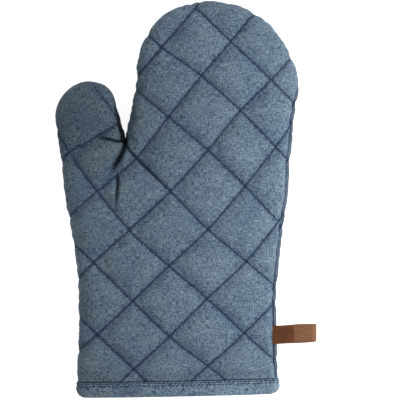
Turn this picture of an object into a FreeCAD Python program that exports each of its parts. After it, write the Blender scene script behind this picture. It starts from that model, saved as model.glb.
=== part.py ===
"""Oven mitt: two quilted cotton panels sewn into a mitten, a bound cuff and a leather hanging loop.

The mitt lies flat on its back. X runs across the hand (thumb at -X, hanging loop at +X), Y runs from
the cuff (-Y) to the fingertips (+Y) and Z is the thickness, with the palm on top. The origin is at the
centre of the footprint, on the surface that the mitt lies on.

Every wall is outer cotton, wadding and lining, from the outside in. The layers are cut from one
rounded envelope and its inward offsets. Each layer is split at mid thickness into a palm and a back
panel, and again at the two folds where the fingers and the thumb bend towards the palm.
"""

import FreeCAD, Part
import os

import Sketcher

SIZES = [
    # outline of the mitt seen from above, clockwise from the cuff's left corner
    ("cuff_end", 150.2, "distance from the origin to the end of the cuff"),
    ("cuff_left", 82.0, "left corner of the cuff, distance to the left"),
    ("cuff_right", 70.2, "right corner of the cuff"),
    ("wrist_level", 81.0, "level of the wrist, distance towards the cuff"),
    ("wrist_left", 80.5, "left edge at the wrist, distance to the left"),
    ("wrist_right", 67.5, "right edge at the wrist"),
    ("thumb_left", 74.4, "centre of the thumb's round tip, distance to the left"),
    ("thumb_level", 65.2, "level of that centre"),
    ("thumb_radius", 23.9, "radius of the thumb's tip"),
    ("notch_left", 46.4, "sharp bottom of the notch by the thumb, distance to the left"),
    ("notch_level", 40.5, "level of the notch's sharp bottom"),
    ("notch_radius", 1.2, "rounding of the notch's bottom"),
    ("palm_left", 37.4, "left edge of the fingers, distance to the left"),
    ("palm_level", 95.0, "level where the notch's edge meets the fingers' edge"),
    ("cap_left", 36.9, "left end of the fingertip arc, distance to the left"),
    ("cap_left_level", 106.0, "level of the arc's left end"),
    ("cap_right", 83.5, "right end of the fingertip arc"),
    ("cap_right_level", 96.0, "level of the arc's right end"),
    ("cap_radius", 61.7, "radius of the fingertip arc"),
    ("edge_blend", 24.0, "rounding where two stretches of the outline meet"),
    # thickness and layers
    ("thickness", 30.0, "whole mitt, from palm to back"),
    ("rim_radius", 13.5, "rounding of the side walls"),
    ("cotton", 0.6, "outer cotton, and the binding"),
    ("wadding", 5.0, "quilted wadding"),
    ("lining", 0.6, "cotton lining"),
    ("seam", 0.8, "width of the side seam"),
    ("run_out", 25.0, "length by which the envelope is built past the cuff"),
    ("reach", 260.0, "length of the tools that cut right across the mitt"),
    # quilting, two families of parallel lines
    ("quilt_pitch", 38.4, "distance between neighbouring quilting lines"),
    ("rising_angle", 46.5, "slope of the lines that rise to the right"),
    ("rising_offset", 16.0, "distance of the middle rising line from the origin"),
    ("falling_angle", -44.0, "slope of the lines that fall to the right"),
    ("falling_offset", -3.0, "distance of the middle falling line from the origin"),
    ("thread", 0.8, "width of a quilting line"),
    ("thread_depth", 0.3, "depth to which a thread sinks into the cotton"),
    # cuff binding
    ("binding", 11.3, "height of the binding"),
    ("stitch_upper", 10.2, "upper stitched row, distance from the end of the cuff"),
    ("stitch_lower", 8.4, "lower stitched row, distance from the end of the cuff"),
    # folds
    ("fold_gap", 0.6, "clearance between the two sides of a fold"),
    ("fold_height", 22.0, "height of the fold axes"),
    ("fold_relief", 32.0, "half angle of the relief above a fold axis"),
    ("fold_past", 4.0, "length by which the thumb's relief runs past the notch"),
    ("finger_fold", 58.0, "level of the fingers' fold axis"),
    ("thumb_fold_level", 44.4, "level of the thumb's fold axis below the notch"),
    ("thumb_fold_angle", 23.0, "slope of the thumb's fold axis"),
    ("wedge_lean", 3.0, "lean of the notch's middle line from straight up"),
    # hanging loop
    ("loop_level", 101.5, "middle of the loop, distance towards the cuff"),
    ("loop_width", 14.5, "width of the leather strap"),
    ("strap", 1.6, "thickness of the leather strap"),
    ("loop_root", 70.8, "axis about which the loop swings, distance to the right"),
    ("loop_tip", 98.3, "end of the loop, distance to the right"),
    ("loop_radius", 5.4, "outer radius of the loop's turn"),
    ("eye_root", 75.0, "point where the two plies part, distance to the right"),
    ("eye_root_radius", 0.3, "rounding where the two plies part"),
    ("tab_end", 67.9, "outer end of the strap's ends in the seam, distance to the right"),
    ("tab_length", 5.4, "length of the strap's ends in the seam"),
]

RISING_LINES = range(-3, 3)
FALLING_LINES = range(-3, 4)
SIDES = ("palm", "back")

doc = FreeCAD.newDocument("oven_mitt")
sheet = doc.addObject("Spreadsheet::Sheet", "sizes")
nodes = []


def fill_sheet():
    for row, (alias, value, note) in enumerate(SIZES, start=1):
        sheet.set("A%d" % row, alias)
        sheet.set("B%d" % row, str(value))
        sheet.set("C%d" % row, note)
        sheet.setAlias("B%d" % row, alias)
    doc.recompute()


def in_sheet(text):
    """An expression in which {alias} stands for a cell of the sheet."""
    return text.replace("{", "sizes.").replace("}", "")


def value_of(text):
    found = sheet.evalExpression(in_sheet(text))
    return float(getattr(found, "Value", found))


def bind(item, bindings):
    """Bind properties, such as Length or Placement.Base.x, to expressions."""
    for path, text in bindings.items():
        item.setExpression(path, in_sheet(text))
    return item


def clockwise_arc(start, end, radius):
    """The short arc from start to end that turns clockwise."""
    chord = end - start
    to_centre = FreeCAD.Vector(chord.y, -chord.x, 0).normalize()
    middle = (start + end) * 0.5
    rise = radius - (radius**2 - (chord.Length / 2) ** 2) ** 0.5
    return Part.ArcOfCircle(end, middle - to_centre * rise, start)


def draw(sketch, corners, arcs):
    """Draw a closed clockwise outline; arcs maps an edge's number to the expression of its radius."""
    points = [FreeCAD.Vector(value_of(x), value_of(y), 0) for x, y in corners]
    ends = [(2, 1) if number in arcs else (1, 2) for number in range(len(points))]
    for number, start in enumerate(points):
        end = points[(number + 1) % len(points)]
        if number in arcs:
            sketch.addGeometry(clockwise_arc(start, end, value_of(arcs[number])))
        else:
            sketch.addGeometry(Part.LineSegment(start, end))
    for number in range(len(points)):
        following = (number + 1) % len(points)
        link = Sketcher.Constraint("Coincident", number, ends[number][1], following, ends[following][0])
        sketch.addConstraint(link)
    for number, corner in enumerate(corners):
        start = (points[number].x, points[number].y)
        for kind, text, place in zip(("DistanceX", "DistanceY"), corner, start):
            rule = Sketcher.Constraint(kind, -1, 1, number, ends[number][0], place)
            sketch.setExpression("Constraints[%d]" % sketch.addConstraint(rule), in_sheet(text))
    for number, text in arcs.items():
        rule = Sketcher.Constraint("Radius", number, value_of(text))
        sketch.setExpression("Constraints[%d]" % sketch.addConstraint(rule), in_sheet(text))
    return sketch


def sketch_in(body, role, name, corners, arcs):
    """A sketch on one of the origin planes of its body."""
    plane = next(item for item in body.Origin.OriginFeatures if item.Role == role)
    sketch = body.newObject("Sketcher::SketchObject", name)
    sketch.AttachmentSupport = [(plane, "")]
    sketch.MapMode = "FlatFace"
    return draw(sketch, corners, arcs)


def prism(name, corners, low, high):
    """A solid over a polygon drawn from above, between two heights."""
    sketch = draw(doc.addObject("Sketcher::SketchObject", name + "_plan"), corners, {})
    solid = doc.addObject("Part::Extrusion", name)
    solid.Base = sketch
    solid.DirMode = "Normal"
    solid.Solid = True
    bind(solid, {"LengthFwd": "(%s)-(%s)" % (high, low), "Placement.Base.z": low})
    return solid


def box(name, low, high):
    """A block between two corners, each an (x, y, z) triple of expressions."""
    solid = doc.addObject("Part::Box", name)
    lengths = ("Length", "Width", "Height")
    for axis, start, end, length in zip("xyz", low, high, lengths):
        bind(solid, {"Placement.Base." + axis: start, length: "(%s)-(%s)" % (end, start)})
    return solid


def cut(name, base, tool):
    result = doc.addObject("Part::Cut", name)
    result.Base = base
    result.Tool = tool
    return result


def cut_all(name, base, tools):
    """Cut several tools out of a base, one after another."""
    for number, tool in enumerate(tools, start=1):
        base = cut("%s_%d" % (name, number), base, tool)
    return base


def common(name, base, tool):
    result = doc.addObject("Part::Common", name)
    result.Base = base
    result.Tool = tool
    return result


def joined(name, shapes):
    result = doc.addObject("Part::MultiFuse", name)
    result.Shapes = shapes
    return result


def sub_part(item, label):
    item.Label = label
    nodes.append(item)
    return item


def fillet(body, name, base, radius, chosen):
    """Round the edges of a feature for which chosen(edge) is true."""
    doc.recompute()
    numbered = enumerate(base.Shape.Edges, start=1)
    names = ["Edge%d" % number for number, edge in numbered if chosen(edge)]
    feature = body.newObject("PartDesign::Fillet", name)
    feature.Base = (base, names)
    return bind(feature, {"Radius": radius})


def touching_thumb(x, y, side):
    """Where a line from a point touches the thumb's round tip, on its left (-1) or its right (1)."""
    centre = ("-{thumb_left}", "{thumb_level}")
    over = "(%s-(%s))" % (centre[0], x)
    up = "(%s-(%s))" % (centre[1], y)
    half_angle = "asin({thumb_radius}/sqrt(%s^2+%s^2))" % (over, up)
    lean = "(atan(%s/%s)+(%s)*%s)" % (over, up, side, half_angle)
    return (
        "%s+(%s)*{thumb_radius}*cos(%s)" % (centre[0], side, lean),
        "%s-(%s)*{thumb_radius}*sin(%s)" % (centre[1], side, lean),
    )


def mitt_envelope():
    """The outer surface of the mitt as one rounded solid that runs on past the cuff."""
    wrist = ("-{wrist_left}", "-{wrist_level}")
    notch_bottom = ("-{notch_left}", "{notch_level}")
    corners = [
        ("-{cuff_left}", "-{cuff_end}-{run_out}"),
        wrist,
        touching_thumb(*wrist, -1),
        touching_thumb(*notch_bottom, 1),
        notch_bottom,
        ("-{palm_left}", "{palm_level}"),
        ("-{cap_left}", "{cap_left_level}"),
        ("{cap_right}", "{cap_right_level}"),
        ("{wrist_right}", "-{wrist_level}"),
        ("{cuff_right}", "-{cuff_end}-{run_out}"),
    ]
    body = doc.addObject("PartDesign::Body", "mitt_envelope")
    sketch = sketch_in(body, "XY_Plane", "outline", corners, {2: "{thumb_radius}", 6: "{cap_radius}"})
    pad = body.newObject("PartDesign::Pad", "outline_pad")
    pad.Profile = sketch
    bind(pad, {"Length": "{thickness}"})
    past_cuff = -value_of("{cuff_end}")
    notch = (-value_of("{notch_left}"), value_of("{notch_level}"))
    thickness = value_of("{thickness}")

    def upright(edge):
        return abs(edge.tangentAt(edge.FirstParameter).z) > 0.9 and edge.CenterOfMass.y > past_cuff

    def on_thumb(edge):
        middle = edge.CenterOfMass
        return middle.x < notch[0] - 1 and middle.y > notch[1]

    def at_notch(edge):
        middle = edge.CenterOfMass
        return upright(edge) and abs(middle.x - notch[0]) < 1 and abs(middle.y - notch[1]) < 1

    def at_rim(edge):
        height = edge.CenterOfMass.z
        cuff_edge = edge.BoundBox.YMax < past_cuff
        return min(height, thickness - height) < 0.01 and not cuff_edge

    def at_corner(edge):
        return upright(edge) and not at_notch(edge) and not on_thumb(edge)

    blend = fillet(body, "outline_blend", pad, "{edge_blend}", at_corner)
    notch_blend = fillet(body, "notch_blend", blend, "{notch_radius}", at_notch)
    body.Tip = fillet(body, "rim", notch_blend, "{rim_radius}", at_rim)
    return body


def inner_surface(name, envelope, depth):
    """The envelope moved inwards by a depth."""
    solid = doc.addObject("Part::Offset", name)
    solid.Source = envelope
    return bind(solid, {"Value": "-(%s)" % depth})


def zone_plans(start):
    """Plans of the three zones; the hand's zone starts at a level towards the cuff."""
    half = "{fold_gap}/2"
    across = "cos({thumb_fold_angle})"
    along = "sin({thumb_fold_angle})"

    def by_fold(side, run, rise):
        """A point run along the thumb's fold from the notch, and rise beyond the fold's clearance."""
        off = "(%s*%s+%s)" % (side, half, rise)
        x = "-{notch_left}+(%s)*%s-%s*%s" % (run, across, off, along)
        y = "{thumb_fold_level}+(%s)*%s+%s*%s" % (run, along, off, across)
        return x, y

    wedge = ("-{notch_left}-{reach}*tan({wedge_lean})", "{thumb_fold_level}+{reach}")
    wedge_at_fold = (
        "-{notch_left}-({finger_fold}-{thumb_fold_level})*tan({wedge_lean})",
        "{finger_fold}-" + half,
    )
    hand = [
        ("-{reach}", start),
        by_fold("-1", "-{reach}", "0"),
        by_fold("-1", "0", "0"),
        wedge_at_fold,
        ("{reach}", "{finger_fold}-" + half),
        ("{reach}", start),
    ]
    fingers = [
        (wedge_at_fold[0], "{finger_fold}+" + half),
        wedge,
        ("{reach}", "{thumb_fold_level}+{reach}"),
        ("{reach}", "{finger_fold}+" + half),
    ]
    thumb = [
        by_fold("1", "-{reach}", "0"),
        by_fold("1", "-{reach}", "{reach}"),
        wedge,
        by_fold("1", "0", "0"),
    ]
    return {"hand": hand, "fingers": fingers, "thumb": thumb}


def fold_relief(name, place, turn, before, past):
    """The V-shaped relief above a fold axis, which leaves room to fold."""
    rise = "({thickness}-{fold_height}+5)"
    width = "%s*tan({fold_relief})" % rise
    plan = doc.addObject("Sketcher::SketchObject", name + "_profile")
    draw(plan, [("0", "0"), ("-" + width, rise), (width, rise)], {})
    wedge = doc.addObject("Part::Extrusion", name)
    wedge.Base = plan
    wedge.DirMode = "Custom"
    wedge.Dir = FreeCAD.Vector(0, 0, 1)
    wedge.Solid = True
    bind(wedge, {"LengthRev": before, "LengthFwd": past})
    upright = FreeCAD.Rotation(FreeCAD.Vector(1, 1, 1), 120)
    turned = FreeCAD.Rotation(FreeCAD.Vector(0, 0, 1), turn) * upright
    wedge.Placement = FreeCAD.Placement(FreeCAD.Vector(), turned)
    return bind(wedge, {"Placement.Base." + axis: text for axis, text in zip("xyz", place)})


def quilting_family(name, angle, offset, numbers):
    """Thin upright blades along one family of quilting lines."""
    blades = []
    for number in numbers:
        blade = doc.addObject("Part::Box", "%s_%d" % (name, number - numbers[0]))
        turn = FreeCAD.Rotation(FreeCAD.Vector(0, 0, 1), value_of(angle))
        blade.Placement = FreeCAD.Placement(FreeCAD.Vector(), turn)
        off = "(%s+(%d)*{quilt_pitch}-{thread}/2)" % (offset, number)
        back = "{reach}"
        bind(blade, {
            "Length": "2*{reach}",
            "Width": "{thread}",
            "Height": "{thickness}+2",
            "Placement.Base.x": "-%s*cos(%s)-%s*sin(%s)" % (back, angle, off, angle),
            "Placement.Base.y": "-%s*sin(%s)+%s*cos(%s)" % (back, angle, off, angle),
            "Placement.Base.z": "-1",
        })
        blades.append(blade)
    return blades


def strap_outline(left, left_radius, right, right_radius):
    """Corners and arcs of a belt around two circles, drawn on the plane of X and height."""
    lean = "((%s)-(%s))/((%s)-(%s))" % (right_radius, left_radius, right, left)
    level = "sqrt(1-(%s)^2)" % lean
    left_x = "(%s)-(%s)*%s" % (left, left_radius, lean)
    right_x = "(%s)-(%s)*%s" % (right, right_radius, lean)
    corners = [
        (left_x, "-(%s)*%s" % (left_radius, level)),
        (left_x, "(%s)*%s" % (left_radius, level)),
        (right_x, "(%s)*%s" % (right_radius, level)),
        ("(%s)+(%s)" % (right, right_radius), "0"),
        (right_x, "-(%s)*%s" % (right_radius, level)),
    ]
    return corners, {0: left_radius, 2: right_radius, 3: right_radius}


def hanging_loop():
    """The strap folded back on itself, with an eye between its plies."""
    turn_centre = "{loop_tip}-{loop_radius}"
    outer = strap_outline("{loop_root}", "{strap}", turn_centre, "{loop_radius}")
    inner = strap_outline("{eye_root}", "{eye_root_radius}", turn_centre, "{loop_radius}-{strap}")
    body = doc.addObject("PartDesign::Body", "hanging_loop")
    pad = body.newObject("PartDesign::Pad", "strap_pad")
    pad.Profile = sketch_in(body, "XZ_Plane", "strap_profile", *outer)
    pad.Midplane = True
    bind(pad, {"Length": "{loop_width}"})
    doc.recompute()
    eye = body.newObject("PartDesign::Pocket", "strap_eye")
    eye.Profile = sketch_in(body, "XZ_Plane", "eye_profile", *inner)
    eye.Type = "ThroughAll"
    eye.Midplane = True
    body.Tip = eye
    return bind(body, {"Placement.Base.y": "-{loop_level}", "Placement.Base.z": "{thickness}/2"})


def loop_tab():
    """The strap's two ends, flat on each other, held in the side seam."""
    half_width = "{loop_width}/2"
    low = ("{tab_end}-{tab_length}", "-{loop_level}-" + half_width, "{thickness}/2-{strap}")
    high = ("{tab_end}", "-{loop_level}+" + half_width, "{thickness}/2+{strap}")
    return box("loop_tab", low, high)


def cells(name, start, split, tab, reliefs):
    """One cell for each side and zone; split is the gap left between palm and back."""
    found = {}
    heights = {
        "palm": ("{thickness}/2+(%s)/2" % split, "{thickness}+1"),
        "back": ("-1", "{thickness}/2-(%s)/2" % split),
    }
    for side in SIDES:
        for zone, corners in zone_plans(start).items():
            label = "%s_%s_%s" % (name, side, zone)
            cell = prism(label, corners, *heights[side])
            tools = list(reliefs[zone]) if side == "palm" else []
            if zone == "hand":
                tools.append(tab)
            found[side, zone] = cut_all(label + "_cut", cell, tools)
    return found


def panels(layer, name, cell_set):
    for (side, zone), cell in cell_set.items():
        label = "%s_%s_%s" % (side, name, zone)
        sub_part(common(label, layer, cell), label)


def quilted_cotton(layer, skin, grid, cell_set):
    """Outer cotton with sunk quilting lines, and the thread that lies in them."""
    lines = common("quilting_lines", skin, grid)
    grooved = cut("grooved_cotton", layer, lines)
    panels(grooved, "shell", cell_set)
    panels(lines, "quilting", cell_set)


def side_seam(layer, start, tab):
    """The sewn line that joins the palm to the back, all round but for the cuff."""
    low = "{thickness}/2-{seam}/2"
    high = "{thickness}/2+{seam}/2"
    for zone, corners in zone_plans(start).items():
        band = prism("seam_band_" + zone, corners, low, high)
        if zone == "hand":
            band = cut("seam_band_by_loop", band, tab)
        label = "side_seam_" + zone
        sub_part(common(label, layer, band), label)


def cuff_slab(name, near, far):
    """A block across the cuff between two distances from its end."""
    low = ("-{reach}", "-{cuff_end}+(%s)" % near, "-1")
    high = ("{reach}", "-{cuff_end}+(%s)" % far, "{thickness}+1")
    return box(name, low, high)


def cuff_binding(envelope, cotton, facing, inside, skin):
    """A folded strip over the cuff's end, and the two stitched rows that hold it."""
    outer_leg = common("binding_outer", cotton, cuff_slab("binding_slab", "0", "{binding}"))
    inner_leg = common("binding_inner", facing, cuff_slab("facing_slab", "0", "{binding}"))
    wall = cut("cuff_wall", envelope, inside)
    end = common("binding_end", wall, cuff_slab("end_slab", "0", "{cotton}"))
    strip = joined("binding_strip", [outer_leg, inner_leg, end])
    for row in ("upper", "lower"):
        place = "{stitch_%s}" % row
        slab = cuff_slab("row_" + row, place + "-{thread}/2", place + "+{thread}/2")
        thread = sub_part(common("cuff_stitch_" + row, skin, slab), "cuff_stitch_" + row)
        strip = cut("binding_under_" + row, strip, thread)
    return sub_part(strip, "cuff_binding")


def build():
    fill_sheet()
    envelope = mitt_envelope()
    depths = {
        "thread_surface": "{thread_depth}",
        "cotton_surface": "{cotton}",
        "wadding_surface": "{cotton}+{wadding}",
        "lining_surface": "{cotton}+{wadding}+{lining}",
        "facing_surface": "2*{cotton}+{wadding}+{lining}",
    }
    surface = {name: inner_surface(name, envelope, depth) for name, depth in depths.items()}
    skin = cut("thread_skin", envelope, surface["thread_surface"])
    cotton = cut("cotton_layer", envelope, surface["cotton_surface"])
    wadding = cut("wadding_layer", surface["cotton_surface"], surface["wadding_surface"])
    lining = cut("lining_layer", surface["wadding_surface"], surface["lining_surface"])
    facing = cut("facing_layer", surface["lining_surface"], surface["facing_surface"])

    tab = sub_part(loop_tab(), "loop_tab")
    sub_part(hanging_loop(), "hanging_loop")
    finger_place = ("0", "{finger_fold}", "{fold_height}")
    thumb_place = ("-{notch_left}", "{thumb_fold_level}", "{fold_height}")
    finger_relief = fold_relief("finger_relief", finger_place, 0, "{notch_left}+1", "{reach}")
    thumb_turn = value_of("{thumb_fold_angle}")
    thumb_relief = fold_relief("thumb_relief", thumb_place, thumb_turn, "{reach}", "{fold_past}")
    reliefs = {
        "hand": (finger_relief, thumb_relief),
        "fingers": (finger_relief,),
        "thumb": (thumb_relief,),
    }
    outer_start = "-{cuff_end}+{binding}"
    core_cells = cells("core", "-{cuff_end}+{cotton}", "0", tab, reliefs)
    outer_cells = cells("outer", outer_start, "{seam}", tab, reliefs)
    rising = quilting_family("rising", "{rising_angle}", "{rising_offset}", RISING_LINES)
    falling = quilting_family("falling", "{falling_angle}", "{falling_offset}", FALLING_LINES)
    grid = joined("quilting_grid", rising + falling)

    quilted_cotton(cotton, skin, grid, outer_cells)
    panels(wadding, "wadding", core_cells)
    panels(lining, "lining", core_cells)
    side_seam(cotton, outer_start, tab)
    cuff_binding(envelope, cotton, facing, surface["facing_surface"], skin)
    doc.recompute()


def check_and_write():
    for item in doc.Objects:
        failed = {"Invalid", "Error"} & set(item.State)
        if failed:
            raise RuntimeError("%s did not compute" % item.Name)
    for item in nodes:
        if item.Shape.isNull() or not item.Shape.isValid() or not item.Shape.Solids:
            raise RuntimeError("%s has no valid shape" % item.Label)
    os.makedirs("parts", exist_ok=True)
    for item in nodes:
        item.Shape.exportStep("parts/%s.step" % item.Label)
        print("%-24s %9.0f mm3 in %d" % (item.Label, item.Shape.Volume, len(item.Shape.Solids)))


build()
check_and_write()
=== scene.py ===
"""Oven mitt: quilted chambray over wadding and lining, a bound cuff, navy stitching and a leather loop.

The frame gives the level of the cuff's end and the width of the loop. The two quilted panels
are built here: a rim whose rings follow the rounded edge, and a middle whose triangles follow the
quilting. Each panel is then puffed up by a cloth simulation that is held down along its quilting lines,
and every layer of the wall is made from the same panel.
"""

import math

import bmesh
import bpy
import numpy as np
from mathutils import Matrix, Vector, geometry
from mathutils.bvhtree import BVHTree
from mathutils.kdtree import KDTree


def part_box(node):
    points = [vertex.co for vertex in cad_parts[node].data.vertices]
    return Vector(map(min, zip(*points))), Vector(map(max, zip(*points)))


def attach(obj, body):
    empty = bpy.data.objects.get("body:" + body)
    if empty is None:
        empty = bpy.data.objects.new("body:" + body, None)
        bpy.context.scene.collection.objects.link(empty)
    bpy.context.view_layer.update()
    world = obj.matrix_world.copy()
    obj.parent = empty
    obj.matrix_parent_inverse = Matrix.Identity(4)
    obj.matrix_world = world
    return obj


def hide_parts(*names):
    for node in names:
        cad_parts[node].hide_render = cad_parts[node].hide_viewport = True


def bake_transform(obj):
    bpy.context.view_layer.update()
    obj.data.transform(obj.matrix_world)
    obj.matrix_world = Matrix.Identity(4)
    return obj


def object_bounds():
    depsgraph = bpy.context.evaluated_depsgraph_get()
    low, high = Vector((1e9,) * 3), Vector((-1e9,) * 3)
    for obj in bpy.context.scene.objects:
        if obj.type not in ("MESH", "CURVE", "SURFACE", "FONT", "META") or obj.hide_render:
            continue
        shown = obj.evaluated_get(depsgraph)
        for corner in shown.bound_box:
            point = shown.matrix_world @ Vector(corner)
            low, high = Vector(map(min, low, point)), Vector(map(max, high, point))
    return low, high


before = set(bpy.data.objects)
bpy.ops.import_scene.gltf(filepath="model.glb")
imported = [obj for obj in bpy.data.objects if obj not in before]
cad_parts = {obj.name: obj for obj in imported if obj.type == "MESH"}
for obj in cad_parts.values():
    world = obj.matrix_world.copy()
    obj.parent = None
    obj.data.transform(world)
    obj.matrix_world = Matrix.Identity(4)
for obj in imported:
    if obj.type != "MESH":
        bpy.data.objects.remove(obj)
CAD_LOW, CAD_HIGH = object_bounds()

MM = 0.001
SPACING = 1.5 * MM
SEED = 7

# --- the mitt seen from above, in millimetres ---------------------------------------------------
OUTLINE = [
    (-82.6, -146), (-82.0, -120), (-81.2, -88), (-82.0, -58), (-86.0, -28), (-91.0, 0), (-94.4, 28),
    (-97.9, 52), (-98.0, 66), (-92.0, 78.6), (-82.2, 86.6), (-71.5, 89.2), (-61.5, 86), (-55.4, 78.4),
    (-52.8, 70), (-49.8, 62), (-47.5, 54.5), (-46.4, 48.6), (-46.0, 47.0), (-45.6, 48.6), (-44.9, 54.5),
    (-42.5, 64), (-39.5, 78), (-37.6, 90), (-37.0, 102), (-33.4, 116), (-26.4, 128.8), (-16, 139.2),
    (-2.5, 146.5), (12.5, 150.2), (30.5, 148.7), (47.5, 143.4), (61, 134), (71.2, 122.4), (79, 109),
    (83.6, 96), (84.8, 85), (82.8, 70), (80.2, 48), (77.9, 24), (76.5, 0), (73.8, -18), (71.0, -36),
    (69.0, -56), (67.8, -82), (68.0, -108), (69.3, -130), (70.4, -146),
]
RISING = [
    [(-99, 21), (-89, 34.8), (-73.5, 43.7), (-55.1, 54.9), (-46, 61)],
    [(-96, -22), (-82.2, -7.1), (-66.8, 6.3), (-51.8, 18.4), (-37.3, 31.3), (-13.2, 62.3),
     (11.6, 93.1), (33.8, 119.1), (62, 153)],
    [(-94, -73), (-69.6, -47.5), (-42.6, -22.9), (-11.8, 6.3), (16.5, 37.2), (41.1, 67),
     (64.2, 90.2), (92, 121)],
    [(-90, -121), (-66.8, -101.5), (-40.2, -76.5), (-12.8, -49.9), (16.5, -22.4), (44.4, 10.2),
     (67.6, 39.6), (88, 69)],
    [(-66, -154), (-39.3, -128.5), (-12.3, -102.9), (16, -74.5), (45.4, -46.5), (69.5, -16.7), (84, 4)],
    [(-14, -156), (16.5, -126.6), (43.9, -100.6), (80, -64.6)],
    [(-48, 79), (-18.1, 114.8), (7.6, 144.9), (18, 158)],
]
FALLING = [
    [(-90, -80), (-66.8, -101.5), (-39.3, -128.5), (-14, -154)],
    [(-96, -22.5), (-69.6, -47.5), (-40.2, -76.5), (-12.3, -102.9), (16.5, -126.6), (48, -154)],
    [(-102, 63), (-88.9, 37.2), (-79.3, 22.8), (-66.8, 6.3), (-42.6, -22.9), (-12.8, -49.9),
     (16, -74.5), (43.9, -100.6), (80, -133.5)],
    [(-47.6, 45.4), (-44.1, 39.7), (-37.3, 31.3), (-11.8, 6.3), (16.5, -22.4), (45.4, -46.5), (80, -77)],
    [(-48, 91.5), (-13.2, 62.3), (16.5, 37.2), (44.4, 10.2), (69.5, -16.7), (86, -35)],
    [(-38, 133.5), (-18.1, 114.8), (11.6, 93.1), (41.1, 67), (67.6, 39.6), (88, 18)],
    [(-4, 157), (7.6, 144.9), (33.8, 119.1), (64.2, 90.2), (92, 62)],
    [(-69.8, 85.6), (-61.5, 75.5), (-52.8, 62.5), (-48, 54)],
]
# The line along which the thumb's cloth is parted from the hand's, from the notch to the quilting.
THUMB_BORDER = [(-46.0, 51), (-46.0, 45), (-47.6, 37.7), (-50.4, 30.5), (-54, 12)]
THUMB_LINE = 1  # the rising line that carries the border on to the outer edge
# Creases, from the notch outwards: points, depth, half width, and how dark the painted shade at their bottom
# is.
CREASES = [
    ([(-45.6, 45.5), (-47.0, 38), (-50.0, 31.5), (-53.2, 25.7), (-58.4, 13.0)], 3.2, 2.3, 1.3),
    ([(-45.6, 44.3), (-53.2, 44.5), (-60.8, 46.0), (-73.0, 48.9)], 2.0, 1.3, 1.3),
    ([(-51.6, 18.8), (-51.4, 10.3), (-52.2, 2.5), (-53.0, -11)], 1.6, 1.4, 1.15),
    ([(-46.0, 45.5), (-44.1, 39.7), (-37.3, 31.3), (-24.5, 19), (-3, -3)], 1.1, 1.1, 1.0),
]

# --- thickness, in millimetres ------------------------------------------------------------------
CUFF = round(-CAD_LOW[1] / MM, 1)
FLOOR_GAP = 0.25
LAYER_GAP = 0.05
SEAM_HEIGHT = 15.0
SEAM_DROP = 4.0
PALM_RISE = 9.3
BACK_LEVEL = 1.3
DOME = 2.4
RIM = 9.0  # how far the rounded edge reaches inwards, seen from above
RINGS = 11  # strips of faces between the seam and the inner ring
PUFF = 2.7
BACK_PUFF = 0.9
PUFF_SCALE = 8.0  # distance from a stitch at which a cell is mostly puffed up
PALM_CAP = 1.4  # how far the simulation may move a vertex
BACK_CAP = 0.5
SCALLOP = 0.75
COTTON = 0.6
LINING = 0.6
WALL_AT_STITCH = 3.0
WALL_SWELL = 1.6
LEAST_WADDING = 0.9
BINDING = 11.3
BINDING_TOP = -CUFF + BINDING
BINDING_THICK = 0.65
CUFF_ROWS = {"cuff_stitch_upper": BINDING_TOP - 0.8, "cuff_stitch_lower": BINDING_TOP - 2.5}
STITCH = 2.3
STITCH_GAP = 0.75
THREAD = 0.35


def unit(vectors):
    return vectors / np.maximum(np.linalg.norm(vectors, axis=-1, keepdims=True), 1e-12)


def smooth(x):
    x = np.clip(x, 0, 1)
    return x * x * (3 - 2 * x)


def along(points):
    """Distance of each point along its polyline."""
    return np.r_[0, np.cumsum(np.linalg.norm(np.diff(points, axis=0), axis=1))]


def resample(points, count):
    """count + 1 points evenly spaced along a polyline."""
    run = along(points)
    wanted = np.linspace(0, run[-1], count + 1)
    return np.stack([np.interp(wanted, run, points[:, i]) for i in range(points.shape[1])], axis=1)


def curve(points, step):
    """A centripetal Catmull-Rom curve through points, evenly sampled."""
    p = np.array(points, float)
    p = np.vstack([2 * p[0] - p[1], p, 2 * p[-1] - p[-2]])
    t = np.linspace(0, 1, 24, endpoint=False)[:, None]
    pieces = []
    for a, b, c, d in zip(p, p[1:], p[2:], p[3:]):
        ab, bc, cd = (math.sqrt(np.linalg.norm(v - u)) for u, v in ((a, b), (b, c), (c, d)))
        leave = c - b + bc * ((b - a) / ab - (c - a) / (ab + bc))
        arrive = c - b + bc * ((d - c) / cd - (d - b) / (bc + cd))
        pieces.append(
            (2 * t**3 - 3 * t**2 + 1) * b + (t**3 - 2 * t**2 + t) * leave
            + (-2 * t**3 + 3 * t**2) * c + (t**3 - t**2) * arrive
        )
    whole = np.vstack([*pieces, p[-2:-1]])
    return resample(whole, max(2, int(along(whole)[-1] / step)))


def crossings(a, b):
    """Where polyline a crosses polyline b: distances along a, distances along b, and the points."""
    a0, a1, b0, b1 = a[:-1, None], a[1:, None], b[None, :-1], b[None, 1:]
    da, db, gap = a1 - a0, b1 - b0, b0 - a0
    flat = da[..., 0] * db[..., 1] - da[..., 1] * db[..., 0]
    flat = np.where(np.abs(flat) < 1e-18, 1e-18, flat)
    s = (gap[..., 0] * db[..., 1] - gap[..., 1] * db[..., 0]) / flat
    t = (gap[..., 0] * da[..., 1] - gap[..., 1] * da[..., 0]) / flat
    i, j = np.nonzero((s >= 0) & (s < 1) & (t >= 0) & (t < 1))
    run_a, run_b = along(a), along(b)
    s, t = s[i, j], t[i, j]
    return (
        run_a[i] + s * (run_a[i + 1] - run_a[i]),
        run_b[j] + t * (run_b[j + 1] - run_b[j]),
        a[i] + s[:, None] * (a[i + 1] - a[i]),
    )


def tree_of(points):
    tree = KDTree(len(points))
    for number, p in enumerate(points):
        tree.insert((p[0], p[1], 0), number)
    tree.balance()
    return tree


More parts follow.
